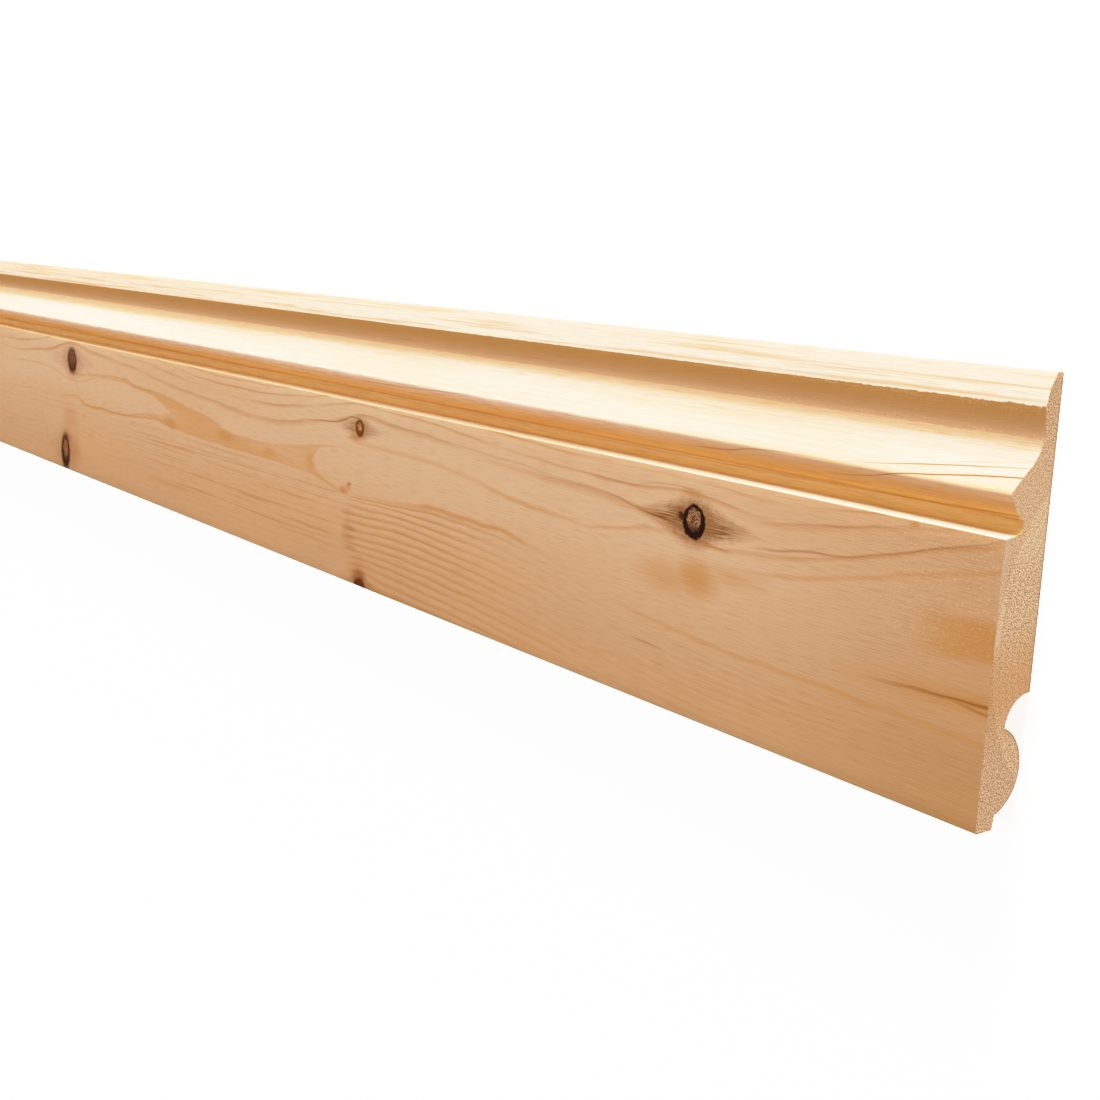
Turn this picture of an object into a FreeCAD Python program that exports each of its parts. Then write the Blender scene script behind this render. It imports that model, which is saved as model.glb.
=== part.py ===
import FreeCAD, Part
import math
import os

import Sketcher

# A length of softwood skirting board, moulded on both faces from one plank. The face has a plain
# fascia with an ogee above it, and the back has a torus at the foot, so that the fitter can turn
# the board over. It lies on its flat back: X runs along the length, Y from the torus foot to the
# thin top edge of the ogee, and Z from the back up to the fascia. Millimetres throughout.

V = FreeCAD.Vector
doc = FreeCAD.newDocument("SkirtingBoard")

# Driving sizes. A rise is measured up the board and a depth into the wood. The ogee is set out down
# from the top edge and the torus up from the foot, so a wider board has more fascia and the same two
# mouldings. The bead and the cove are set out from the back, because the thin tip is what is left of
# the plank, and the nose, the quirk and the ledge from the fascia.
sizes = {
    "board_length": 2400.0,
    "board_height": 144.0,
    "board_thickness": 20.5,
    # the narrow bead that the board ends in at the top
    "tip_thickness": 2.8,
    "bevel_rise": 4.8,
    "bevel_depth": 2.9,
    "bead_rise": 5.8,
    "bead_depth": 1.4,
    "undercut_rise": 7.6,
    "undercut_depth": 0.8,
    # the ogee's concave half
    "cove_radius": 13.2,
    # the ogee's convex half, from its nose down to its underside
    "nose_to_cove_rise": 18.5,
    "nose_radius": 1.4,
    "nose_depth": 0.6,
    "belly_to_nose_rise": 2.5,
    "belly_rise": 5.7,
    "belly_radius": 8.5,
    "belly_top_depth": 2.9,
    # the small quirk that parts the ogee from the fascia
    "quirk_rise": 5.1,
    "quirk_depth": 8.3,
    "quirk_cove_radius": 2.8,
    "ledge_slope_deg": 8.0,
    # the torus and its quirk, on the back
    "foot_depth": 12.3,
    "foot_step_rise": 4.8,
    "foot_step_depth": 11.6,
    "torus_radius": 15.2,
    "torus_crown_depth": 1.3,
    "torus_to_lip_rise": 24.2,
    "back_quirk_radius": 10.4,
    "back_quirk_depth": 10.8,
    # arrises taken off with the plane
    "foot_arris_radius": 1.2,
    "tip_arris_radius": 0.8,
    "fine_arris_radius": 0.35,
    # how far each cutter runs clear of the wood
    "cutter_clearance": 6.0,
}

sheet = doc.addObject("Spreadsheet::Sheet", "Sizes")
for row, (alias, value) in enumerate(sizes.items(), start=1):
    sheet.set(f"A{row}", alias)
    sheet.set(f"B{row}", str(value))
    sheet.setAlias(f"B{row}", alias)
doc.recompute()


def size(alias):
    return float(getattr(sheet, alias))


board_height = size("board_height")
board_thickness = size("board_thickness")


def from_face(height, depth):
    """A point of the section, at a height above the foot and a depth under the fascia."""
    return V(height - board_height / 2, board_thickness - depth, 0)


def from_back(height, depth):
    """A point of the section, at a height above the foot and a depth in from the flat back."""
    return V(height - board_height / 2, depth, 0)


class Section:
    """One sketch across the board, drawn edge by edge and then tied to the sheet."""

    def __init__(self, body, name):
        self.sketch = body.newObject("Sketcher::SketchObject", name)
        plane = next(p for p in body.Origin.OriginFeatures if p.Role == "YZ_Plane")
        self.sketch.AttachmentSupport = [(plane, "")]
        self.sketch.MapMode = "FlatFace"

    def line(self, start, end):
        return self.sketch.addGeometry(Part.LineSegment(start, end), False)

    def arc(self, centre, radius, start, end):
        """The arc that runs anticlockwise from one point to the other."""
        first = math.atan2(start.y - centre.y, start.x - centre.x)
        last = math.atan2(end.y - centre.y, end.x - centre.x)
        if last <= first:
            last += 2 * math.pi
        circle = Part.Circle(centre, V(0, 0, 1), radius)
        return self.sketch.addGeometry(Part.ArcOfCircle(circle, first, last), False)

    def tie(self, kind, *where):
        """A constraint of shape, with no size of its own."""
        self.sketch.addConstraint(Sketcher.Constraint(kind, *where))

    def bind(self, name, rule, kind, *where):
        """A constraint whose size is a rule on the sheet's values."""
        index = self.sketch.addConstraint(Sketcher.Constraint(kind, *where))
        self.sketch.renameConstraint(index, name)
        self.sketch.setExpression(f"Constraints.{name}", rule)

    def across(self, name, rule, geometry, point):
        """Ties how far a point lies from the board's middle, across its width."""
        value = self.sketch.getPoint(geometry, point).x
        self.bind(name, rule, "DistanceX", -1, 1, geometry, point, value)

    def apart(self, alias, way, first, first_point, second, second_point):
        """Ties how far apart two points lie, along X or Y, to the size of the same name."""
        where = (first, first_point, second, second_point)
        self.bind(alias, f"Sizes.{alias}", f"Distance{way}", *where, size(alias))

    def up(self, name, rule, geometry, point):
        """Ties how high a point lies above the flat back."""
        value = self.sketch.getPoint(geometry, point).y
        self.bind(name, rule, "DistanceY", -1, 1, geometry, point, value)


# Where the foot and the fascia lie on the section, as rules on the sheet.
FOOT = "-Sizes.board_height / 2"
FACE = "Sizes.board_thickness"

# The points of a sketched edge.
START = 1
END = 2
CENTRE = 3

body = doc.addObject("PartDesign::Body", "skirting_board")
body.Label = "skirting_board"

# The plank as it leaves the planer: four square, at its finished width and thickness.
blank = Section(body, "PlankSection")
low_left = from_back(0, 0)
low_right = from_back(board_height, 0)
top_right = from_face(board_height, 0)
top_left = from_face(0, 0)
back_edge = blank.line(low_left, low_right)
tip_edge = blank.line(low_right, top_right)
face_edge = blank.line(top_right, top_left)
foot_edge = blank.line(top_left, low_left)
blank.tie("Coincident", back_edge, END, tip_edge, START)
blank.tie("Coincident", tip_edge, END, face_edge, START)
blank.tie("Coincident", face_edge, END, foot_edge, START)
blank.tie("Coincident", foot_edge, END, back_edge, START)
blank.tie("Horizontal", face_edge)
blank.tie("Vertical", tip_edge)
blank.tie("Vertical", foot_edge)
blank.tie("Symmetric", back_edge, START, back_edge, END, -1, 1)
blank.bind("width", "Sizes.board_height", "DistanceX", back_edge, START, back_edge, END, board_height)
blank.bind("thickness", FACE, "DistanceY", tip_edge, START, tip_edge, END, board_thickness)

plank = body.newObject("PartDesign::Pad", "Plank")
plank.Profile = blank.sketch
plank.SideType = "Symmetric"
plank.setExpression("Length", "Sizes.board_length")
doc.recompute()

# The ogee. Its cutter leaves, from the top edge down, a bevel and a bead, an undercut, the deep cove,
# a long slope out to the nose, the belly under it, and a quirk with a sloping ledge over the fascia.
tip_height = board_height
shoulder_height = tip_height - size("bevel_rise")
bead_foot_height = shoulder_height - size("bead_rise")
cove_height = bead_foot_height - size("undercut_rise")
nose_height = cove_height - size("nose_to_cove_rise")
belly_top_height = nose_height - size("belly_to_nose_rise")
quirk_top_height = belly_top_height - size("belly_rise")
fascia_height = quirk_top_height - size("quirk_rise")

tip_thickness = size("tip_thickness")
shoulder_thickness = tip_thickness + size("bevel_depth")
bead_foot_thickness = shoulder_thickness + size("bead_depth")
cove_thickness = bead_foot_thickness - size("undercut_depth")
cove_radius = size("cove_radius")
tip = from_back(tip_height, tip_thickness)
bead_shoulder = from_back(shoulder_height, shoulder_thickness)
bead_foot = from_back(bead_foot_height, bead_foot_thickness)
cove_low = from_back(cove_height, cove_thickness)
cove_centre = from_back(cove_height, cove_thickness + cove_radius)
nose_radius = size("nose_radius")
nose_centre = from_face(nose_height, size("nose_depth") + nose_radius)
belly_top = from_face(belly_top_height, size("belly_top_depth"))
quirk_depth = size("quirk_depth")
quirk_top = from_face(quirk_top_height, quirk_depth)
fascia_arris = from_face(fascia_height, 0)

# The long slope touches the nose on one side and the deep cove on the other.
to_cove = cove_centre - nose_centre
slope_angle = math.atan2(to_cove.y, to_cove.x) - math.asin((nose_radius + cove_radius) / to_cove.Length)
slope_side = V(-math.sin(slope_angle), math.cos(slope_angle), 0)
slope_start = nose_centre + slope_side * nose_radius
slope_end = cove_centre - slope_side * cove_radius

# The underside of the nose touches its round.
to_nose = nose_centre - belly_top
under_angle = math.atan2(to_nose.y, to_nose.x) + math.asin(nose_radius / to_nose.Length)
nose_low = nose_centre + V(-math.sin(under_angle), math.cos(under_angle), 0) * nose_radius


def arc_centre(start, end, radius):
    """The centre of the arc that runs anticlockwise between two points."""
    chord = end - start
    middle = (start + end) * 0.5
    rise = math.sqrt(radius**2 - (chord.Length / 2) ** 2)
    side = V(-chord.y, chord.x, 0).normalize()
    return middle + side * rise


belly_radius = size("belly_radius")
belly_centre = arc_centre(belly_top, quirk_top, belly_radius)

# The quirk's cove touches the ledge and the quirk's back wall, which fixes its centre.
ledge_slope = math.radians(size("ledge_slope_deg"))
quirk_cove_radius = size("quirk_cove_radius")
ledge_along = V(math.sin(ledge_slope), -math.cos(ledge_slope), 0)
ledge_out = V(math.cos(ledge_slope), math.sin(ledge_slope), 0)
ledge_run = (quirk_depth - quirk_cove_radius + quirk_cove_radius * ledge_out.y) / math.cos(ledge_slope)
ledge_end = fascia_arris + ledge_along * ledge_run
quirk_centre = ledge_end + ledge_out * quirk_cove_radius
quirk_low = V(quirk_centre.x, quirk_centre.y - quirk_cove_radius, 0)

clear = size("cutter_clearance")
tip_out = V(tip.x + clear, tip.y, 0)
corner_out = V(tip_out.x, board_thickness + clear, 0)
arris_out = V(fascia_arris.x, corner_out.y, 0)

ogee = Section(body, "OgeeCutter")
ledge = ogee.line(fascia_arris, ledge_end)
quirk_cove = ogee.arc(quirk_centre, quirk_cove_radius, ledge_end, quirk_low)
quirk_wall = ogee.line(quirk_low, quirk_top)
belly = ogee.arc(belly_centre, belly_radius, belly_top, quirk_top)
nose_under = ogee.line(belly_top, nose_low)
nose = ogee.arc(nose_centre, nose_radius, slope_start, nose_low)
slope = ogee.line(slope_start, slope_end)
cove = ogee.arc(cove_centre, cove_radius, slope_end, cove_low)
undercut = ogee.line(cove_low, bead_foot)
bead_face = ogee.line(bead_foot, bead_shoulder)
bead_bevel = ogee.line(bead_shoulder, tip)
past_tip = ogee.line(tip, tip_out)
past_corner = ogee.line(tip_out, corner_out)
past_face = ogee.line(corner_out, arris_out)
past_arris = ogee.line(arris_out, fascia_arris)

ogee.tie("Tangent", ledge, END, quirk_cove, START)
ogee.tie("Tangent", quirk_cove, END, quirk_wall, START)
ogee.tie("Horizontal", quirk_wall)
ogee.tie("Coincident", quirk_wall, END, belly, END)
ogee.tie("Coincident", belly, START, nose_under, START)
ogee.tie("Tangent", nose_under, END, nose, END)
ogee.tie("Tangent", nose, START, slope, START)
ogee.tie("Tangent", slope, END, cove, START)
ogee.tie("Coincident", cove, END, undercut, START)
ogee.tie("Vertical", cove, CENTRE, cove, END)
ogee.tie("Coincident", undercut, END, bead_face, START)
ogee.tie("Coincident", bead_face, END, bead_bevel, START)
ogee.tie("Coincident", bead_bevel, END, past_tip, START)
ogee.tie("Coincident", past_tip, END, past_corner, START)
ogee.tie("Coincident", past_corner, END, past_face, START)
ogee.tie("Coincident", past_face, END, past_arris, START)
ogee.tie("Coincident", past_arris, END, ledge, START)
ogee.tie("Horizontal", past_tip)
ogee.tie("Vertical", past_corner)
ogee.tie("Horizontal", past_face)
ogee.tie("Vertical", past_arris)

ogee.across("tip", "Sizes.board_height / 2", bead_bevel, END)
ogee.up("tip_thickness", "Sizes.tip_thickness", bead_bevel, END)
ogee.apart("bevel_rise", "X", bead_bevel, START, bead_bevel, END)
ogee.apart("bevel_depth", "Y", bead_bevel, END, bead_bevel, START)
ogee.apart("bead_rise", "X", bead_face, START, bead_face, END)
ogee.apart("bead_depth", "Y", bead_face, END, bead_face, START)
ogee.apart("undercut_rise", "X", undercut, START, undercut, END)
ogee.apart("undercut_depth", "Y", undercut, START, undercut, END)
ogee.bind("cove_radius", "Sizes.cove_radius", "Radius", cove, cove_radius)
ogee.apart("nose_to_cove_rise", "X", nose, CENTRE, cove, CENTRE)
ogee.bind("nose_radius", "Sizes.nose_radius", "Radius", nose, nose_radius)
ogee.up("nose_depth", f"{FACE} - Sizes.nose_depth - Sizes.nose_radius", nose, CENTRE)
ogee.apart("belly_to_nose_rise", "X", belly, START, nose, CENTRE)
ogee.apart("belly_rise", "X", belly, END, belly, START)
ogee.bind("belly_radius", "Sizes.belly_radius", "Radius", belly, belly_radius)
ogee.up("belly_top_depth", f"{FACE} - Sizes.belly_top_depth", belly, START)
ogee.apart("quirk_rise", "X", ledge, START, quirk_wall, END)
ogee.up("quirk_depth", f"{FACE} - Sizes.quirk_depth", quirk_wall, END)
ogee.bind("quirk_cove_radius", "Sizes.quirk_cove_radius", "Radius", quirk_cove, quirk_cove_radius)
ogee.up("face", FACE, ledge, START)
between = (past_arris, START, ledge, START)
ogee.bind("ledge_slope", "Sizes.ledge_slope_deg * 1 deg", "Angle", *between, ledge_slope)
ogee.bind("past_tip", "Sizes.cutter_clearance", "DistanceX", past_tip, START, past_tip, END, clear)
ogee.up("past_face", f"{FACE} + Sizes.cutter_clearance", past_face, START)

ogee_face = body.newObject("PartDesign::Pocket", "OgeeMoulding")
ogee_face.Profile = ogee.sketch
ogee_face.SideType = "Symmetric"
ogee_face.Type = "Length"
ogee_face.setExpression("Length", "Sizes.board_length + 2 * Sizes.cutter_clearance")
doc.recompute()

# The torus, on the back at the foot. Its cutter leaves, from the foot up, the step that thins the foot,
# the round itself, which stands a little inside the back's plane, and a hollow under the flat back.
torus_radius = size("torus_radius")
torus_middle = size("torus_crown_depth") + torus_radius
step_depth = size("foot_step_depth")
step_rise = size("foot_step_rise")
torus_rise = step_rise + math.sqrt(torus_radius**2 - (torus_middle - step_depth) ** 2)
foot_in = from_back(0, size("foot_depth"))
torus_foot = from_back(step_rise, step_depth)
torus_centre = from_back(torus_rise, torus_middle)
back_quirk_radius = size("back_quirk_radius")
lip_depth = size("back_quirk_depth") - back_quirk_radius
quirk_lip = from_back(torus_rise + size("torus_to_lip_rise"), 0)
hollow_drop = math.sqrt(back_quirk_radius**2 - lip_depth**2)
hollow_centre = V(quirk_lip.x - hollow_drop, lip_depth, 0)

# The hollow and the round meet in a sharp valley.
apart = hollow_centre - torus_centre
along = (torus_radius**2 - back_quirk_radius**2 + apart.Length**2) / (2 * apart.Length)
beside = math.sqrt(torus_radius**2 - along**2)
unit = V(apart.x, apart.y, 0).normalize()
valley = torus_centre + unit * along + V(-unit.y, unit.x, 0) * beside
foot_out = V(foot_in.x - clear, foot_in.y, 0)
below_foot = V(foot_out.x, -clear, 0)
below_lip = V(quirk_lip.x, -clear, 0)

torus = Section(body, "TorusCutter")
hollow = torus.arc(hollow_centre, back_quirk_radius, quirk_lip, valley)
round_ = torus.arc(torus_centre, torus_radius, torus_foot, valley)
step = torus.line(torus_foot, foot_in)
past_foot = torus.line(foot_in, foot_out)
past_edge = torus.line(foot_out, below_foot)
past_back = torus.line(below_foot, below_lip)
past_lip = torus.line(below_lip, quirk_lip)

torus.tie("Coincident", hollow, END, round_, END)
torus.tie("Coincident", round_, START, step, START)
torus.tie("Coincident", step, END, past_foot, START)
torus.tie("Coincident", past_foot, END, past_edge, START)
torus.tie("Coincident", past_edge, END, past_back, START)
torus.tie("Coincident", past_back, END, past_lip, START)
torus.tie("Coincident", past_lip, END, hollow, START)
torus.tie("Horizontal", past_foot)
torus.tie("Vertical", past_edge)
torus.tie("Horizontal", past_back)
torus.tie("Vertical", past_lip)
torus.tie("PointOnObject", hollow, START, -1)

torus.across("foot", FOOT, step, END)
torus.up("foot_depth", "Sizes.foot_depth", step, END)
torus.apart("foot_step_rise", "X", step, END, step, START)
torus.up("foot_step_depth", "Sizes.foot_step_depth", step, START)
torus.bind("torus_radius", "Sizes.torus_radius", "Radius", round_, torus_radius)
torus.up("torus_crown_depth", "Sizes.torus_crown_depth + Sizes.torus_radius", round_, CENTRE)
torus.apart("torus_to_lip_rise", "X", round_, CENTRE, hollow, START)
torus.bind("back_quirk_radius", "Sizes.back_quirk_radius", "Radius", hollow, back_quirk_radius)
torus.up("back_quirk_depth", "Sizes.back_quirk_depth - Sizes.back_quirk_radius", hollow, CENTRE)
torus.bind("past_foot", "Sizes.cutter_clearance", "DistanceX", past_foot, END, past_foot, START, clear)
torus.bind("past_back", "Sizes.cutter_clearance", "DistanceY", past_lip, START, past_lip, END, clear)

torus_face = body.newObject("PartDesign::Pocket", "TorusMoulding")
torus_face.Profile = torus.sketch
torus_face.SideType = "Symmetric"
torus_face.Type = "Length"
torus_face.setExpression("Length", "Sizes.board_length + 2 * Sizes.cutter_clearance")
doc.recompute()


def long_edge(feature, point):
    """The name of the edge that runs the whole length of the board through a point of the section."""
    for number, edge in enumerate(feature.Shape.Edges, start=1):
        if abs(edge.Length - size("board_length")) > 0.001:
            continue
        here = edge.valueAt(edge.FirstParameter)
        if math.hypot(here.y - point.x, here.z - point.y) < 0.001:
            return f"Edge{number}"
    raise RuntimeError(f"no edge of the board runs through {point.x:.2f}, {point.y:.2f}")


def eased(name, base, alias, points):
    """Rounds the long arrises through these points of the section."""
    fillet = body.newObject("PartDesign::Fillet", name)
    fillet.Base = (base, [long_edge(base, point) for point in points])
    fillet.setExpression("Radius", f"Sizes.{alias}")
    doc.recompute()
    return fillet


foot_eased = eased("EasedFoot", torus_face, "foot_arris_radius", [top_left])
tip_eased = eased("EasedTip", foot_eased, "tip_arris_radius", [tip, low_right])
fine_points = [fascia_arris, bead_foot, bead_shoulder, quirk_lip, foot_in]
fine_eased = eased("EasedArrises", tip_eased, "fine_arris_radius", fine_points)
body.Tip = fine_eased
doc.recompute()

for item in doc.Objects:
    if "Invalid" in item.State or "Error" in item.State:
        raise RuntimeError(f"{item.Name} did not build: {item.State}")
for section in (blank, ogee, torus):
    print(section.sketch.Name, "degrees of freedom left:", section.sketch.solve())
for before, after in ((plank, ogee_face), (ogee_face, torus_face)):
    if after.Shape.Volume >= before.Shape.Volume:
        raise RuntimeError(f"{after.Name} cut nothing")
shape = body.Shape
if shape.isNull() or not shape.isValid() or len(shape.Solids) != 1:
    raise RuntimeError("the board is not one sound solid")

os.makedirs("parts", exist_ok=True)
shape.exportStep(os.path.join("parts", f"{body.Label}.step"))
box = shape.BoundBox
print(f"{body.Label}: {box.XLength:.2f} x {box.YLength:.2f} x {box.ZLength:.2f} mm")
print(f"section {shape.Volume / size('board_length'):.1f} mm2, volume {shape.Volume / 1e6:.4f} dm3")
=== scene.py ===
# %% [markdown]
# # A length of skirting board in pine
# The board is one piece of wood. A moulder has cut an ogee along one face and a torus along the other.
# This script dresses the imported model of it: a finer mesh of the same section, the wood itself, the
# floor that it lies on, the light and the camera. Everything is in metres, in the frame of the packed
# model: X runs along the board, Y across it from the foot to the thin top edge, and Z up from its back.

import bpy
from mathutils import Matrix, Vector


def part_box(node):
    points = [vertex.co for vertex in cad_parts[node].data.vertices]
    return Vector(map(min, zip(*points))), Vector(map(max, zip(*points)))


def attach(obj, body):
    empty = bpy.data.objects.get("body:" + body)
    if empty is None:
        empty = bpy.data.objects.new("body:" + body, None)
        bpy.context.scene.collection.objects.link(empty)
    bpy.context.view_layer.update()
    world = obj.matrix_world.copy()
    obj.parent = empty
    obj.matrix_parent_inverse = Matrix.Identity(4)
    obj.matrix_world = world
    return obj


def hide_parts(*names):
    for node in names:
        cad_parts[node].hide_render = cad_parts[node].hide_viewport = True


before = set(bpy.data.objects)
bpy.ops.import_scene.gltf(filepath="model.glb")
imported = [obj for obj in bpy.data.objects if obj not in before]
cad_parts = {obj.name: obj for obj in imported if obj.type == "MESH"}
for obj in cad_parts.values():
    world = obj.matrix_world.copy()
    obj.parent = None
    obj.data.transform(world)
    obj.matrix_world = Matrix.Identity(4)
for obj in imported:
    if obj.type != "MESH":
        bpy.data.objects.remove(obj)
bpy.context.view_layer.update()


import math
from math import radians

import bmesh
import bpy
from mathutils import Matrix, Vector, noise

scene = bpy.context.scene
lowest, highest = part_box("skirting_board")
LENGTH, WIDTH, THICK = (highest - lowest) * 1000
print(f"board {LENGTH:.1f} x {WIDTH:.1f} x {THICK:.1f} mm")

# %% [markdown]
# ## The camera
# The photograph was taken close to the board's end, looking down its length, so the far end runs out of
# the picture. The lens and the place were worked out from the straight edges of the board, which meet
# the same lines here as they do there. The picture is square, and the lens isn't shifted.

# %% Camera
camera_data = bpy.data.cameras.new("camera")
camera_data.lens = 50
camera_data.sensor_width = 36
camera_data.clip_start = 0.01
camera = bpy.data.objects.new("camera", camera_data)
right = Vector((0.59485, 0.04247, -0.80272))
up = Vector((-0.18160, 0.97989, -0.08273))
back = Vector((0.78306, 0.19499, 0.59060))
turned = Matrix((right, up, back)).transposed().to_4x4()
camera.matrix_world = Matrix.Translation((1.47798, 0.10246, 0.40072)) @ turned
scene.collection.objects.link(camera)
scene.camera = camera

# %% [markdown]
# ## The board's section
# On the real board one section runs from end to end, so the mesh is that section drawn once and then
# pulled along. A pen draws it: a single vertex that is extruded for a straight run and spun about a
# centre for a round one. The sizes are heights above the foot and depths under the fascia, both in
# millimetres. A list of points worked out by hand would do as well, but the pen keeps each straight and
# each radius of the moulder's knives readable.

# %% A pen for the section
HALF = LENGTH / 2


def at(height, depth):
    """A place on the near end, from its height above the foot and its depth under the fascia."""
    return Vector((HALF / 1000, (height - WIDTH / 2) / 1000, (THICK - depth) / 1000))


board = bmesh.new()
pen = bmesh.ops.create_vert(board, co=at(0, 4))["vert"][0]
first = pen
corners = {}


def straight(height, depth, runs=1, corner=None):
    """Draws a straight line to a place, in so many runs, and may name the corner there."""
    global pen
    step = (at(height, depth) - pen.co) / runs
    for _ in range(runs):
        pen = bmesh.ops.extrude_vert_indiv(board, verts=[pen])["verts"][0]
        pen.co += step
    if corner:
        corners[corner] = pen


def curved(centre, height, depth, runs):
    """Draws an arc about a centre, as far as the direction of a place, in so many runs."""
    global pen
    middle = at(*centre)
    start, stop = pen.co - middle, at(height, depth) - middle
    angle = math.atan2(stop.z, stop.y) - math.atan2(start.z, start.y)
    turn = (angle + math.pi) % (2 * math.pi) - math.pi
    made = bmesh.ops.spin(board, geom=[pen], cent=middle, axis=(1, 0, 0), angle=turn, steps=runs)
    pen = next(g for g in made["geom_last"] if isinstance(g, bmesh.types.BMVert))


# %% [markdown]
# The pen goes round from the foot's narrow edge: the fascia, the ledge and its small cove, the belly and
# the nose of the ogee, the long slope, the deep cove, the undercut, the bead and its bevel, the thin top
# edge, the flat back, and last the hollow and the torus.

# %% Draw the section
FASCIA_TOP = 94.0
TORUS_CENTRE, TORUS_RADIUS = (19.19, 4.0), 15.2
straight(0, 0, 2, corner="foot arris")
straight(FASCIA_TOP, 0, 16, corner="fascia arris")
straight(94.83, 5.89, 5)
curved((97.6, 5.5), 97.6, 8.3, 9)
straight(99.1, 8.3, 2)
curved((107.14, 11.06), 104.8, 2.9, 10)
straight(106.2, 1.13, 2)
curved((107.3, 2.0), 108.36, 1.08, 8)
straight(115.85, 9.68, 8)
curved((125.8, 1.0), 125.8, 14.2, 18)
straight(133.4, 13.4, 5, corner="bead foot")
straight(139.2, 14.8, 4, corner="bead shoulder")
straight(144, 17.7, 4, corner="tip")
straight(144, 20.5, 2, corner="tip back")
straight(43.39, 20.5, 14, corner="lip")
curved((33.0, 20.1), 33.29, 9.7, 16)
curved(TORUS_CENTRE, 4.8, 8.9, 30)
straight(0, 8.2, 3, corner="foot back")
straight(0, 4, 2)
bmesh.ops.remove_doubles(board, verts=[first, pen], dist=0.00005)
print("points round the section:", len(board.verts))

# %% [markdown]
# The planer leaves no corner quite sharp. A bevel of single vertices rounds a corner of a drawn line, as a
# fillet does, and its offset is measured along the two runs that meet there.

# %% Ease the corners
for name, offset, runs in (
    ("foot arris", 1.2, 5),
    ("tip", 0.45, 4),
    ("tip back", 0.8, 5),
    ("fascia arris", 0.3, 4),
    ("foot back", 0.3, 3),
    ("lip", 0.34, 3),
    ("bead foot", 0.06, 1),
    ("bead shoulder", 0.055, 1),
):
    corner = [corners[name]]
    bmesh.ops.bevel(
        board, geom=corner, offset=offset / 1000, segments=runs, profile=0.5, affect="VERTICES", material=-1
    )
section = list(board.edges)
print("points round the eased section:", len(board.verts))

# %% [markdown]
# ## The length
# Pulling the section along is a spin with no angle, only a step: each step leaves one more ring of points.
# The rings are close together at the near end, where the saw and the knives have torn the fibres and the
# camera sees it, and far apart along the rest, which is straight.

# %% Pull the section along the board
near_face = bmesh.ops.contextual_create(board, geom=section)["faces"][0]
ring = list(near_face.edges)
# How far each stretch reaches from the near end, and how far apart its rings of points are.
STRETCHES = ((36, 1.0), (120, 3.0), (420, 10.0), (900, 20.0), (LENGTH, 50.0))
for to, step in STRETCHES:
    here = HALF - max(e.verts[0].co.x for e in ring) * 1000
    count = round((to - here) / step)
    pull = Vector((-(to - here) / count / 1000, 0, 0))
    made = bmesh.ops.spin(board, geom=ring, cent=(0, 0, 0), axis=(1, 0, 0), angle=0, dvec=pull, steps=count)
    ring = [g for g in made["geom_last"] if isinstance(g, bmesh.types.BMEdge)]
far_face = bmesh.ops.contextual_create(board, geom=ring)["faces"][0]
bmesh.ops.recalc_face_normals(board, faces=board.faces)
print("rings of points:", len(board.verts) // len(ring), " faces:", len(board.faces))

# %% [markdown]
# The saw leaves a fine broken edge round each end. An inset of the end face, with its outer ring then
# drawn back along the board, makes it. The inset keeps the old corners for the inner face, so the outer
# ring is found as what the new rim has and the face hasn't. Each corner goes back by its own amount,
# because a saw never breaks the fibres evenly.

# %% Break the edges of the ends
BROKEN_EDGE = 0.00018
TEARS_PER_METRE = 900
for face, way in ((near_face, -1), (far_face, 1)):
    inset = bmesh.ops.inset_region(board, faces=[face], thickness=BROKEN_EDGE, use_even_offset=True)
    outer = {v for rim_face in inset["faces"] for v in rim_face.verts} - set(face.verts)
    for corner in outer:
        torn = 1.0 + 0.8 * noise.noise(corner.co * TEARS_PER_METRE)
        bmesh.ops.translate(board, verts=[corner], vec=(way * BROKEN_EDGE * torn, 0, 0))
    print("end face at", round(face.verts[0].co.x * 1000, 3), "mm, corners drawn back:", len(outer))

# %% [markdown]
# The mesh becomes one object. It rides on the imported board's body and stands in for its solid. Where two
# faces meet at less than 32 degrees the shading is smooth, so the mouldings look round and the arrises
# stay crisp.

# %% Make it an object
mesh = bpy.data.meshes.new("moulded_pine_board")
board.to_mesh(mesh)
board.free()
mesh.shade_smooth()
mesh.set_sharp_from_angle(angle=radians(32))
pine_board = bpy.data.objects.new("moulded_pine_board", mesh)
scene.collection.objects.link(pine_board)
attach(pine_board, "root")
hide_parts("skirting_board")
print("triangles:", sum(len(p.vertices) - 2 for p in mesh.polygons))

# %% [markdown]
# ## Sums as nodes
# The figure of the wood is made of sums on each point's place. Placing each Math node by hand would bury
# them, so a small class stands for a socket and makes the node when two of them are added or multiplied.
# The node tree is the same as if it were laid out by hand.

# %% Helpers that write Math nodes
wood = bpy.data.materials.new("planed_pine")
wood.use_nodes = True
tree = wood.node_tree
nodes, links = tree.nodes, tree.links
nodes.clear()


def plug(value, socket):
    if isinstance(value, Sum):
        links.new(value.socket, socket)
    else:
        socket.default_value = value


class Sum:
    """A socket that can be added to, multiplied and so on."""

    def __init__(self, socket):
        self.socket = socket

    def __add__(self, other):
        return maths("ADD", self, other)

    def __sub__(self, other):
        return maths("SUBTRACT", self, other)

    def __rsub__(self, other):
        return maths("SUBTRACT", other, self)

    def __mul__(self, other):
        return maths("MULTIPLY", self, other)

    def __truediv__(self, other):
        return maths("DIVIDE", self, other)

    __radd__ = __add__


def maths(kind, *values):
    node = nodes.new("ShaderNodeMath")
    node.operation = kind
    for value, socket in zip(values, node.inputs):
        plug(value, socket)
    return Sum(node.outputs[0])


def scaled(value, times, plus):
    """A value times one number plus another, in a single node."""
    return maths("MULTIPLY_ADD", value, times, plus)


def root(value):
    return maths("SQRT", value)


def size_of(value):
    return maths("ABSOLUTE", value)


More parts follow.
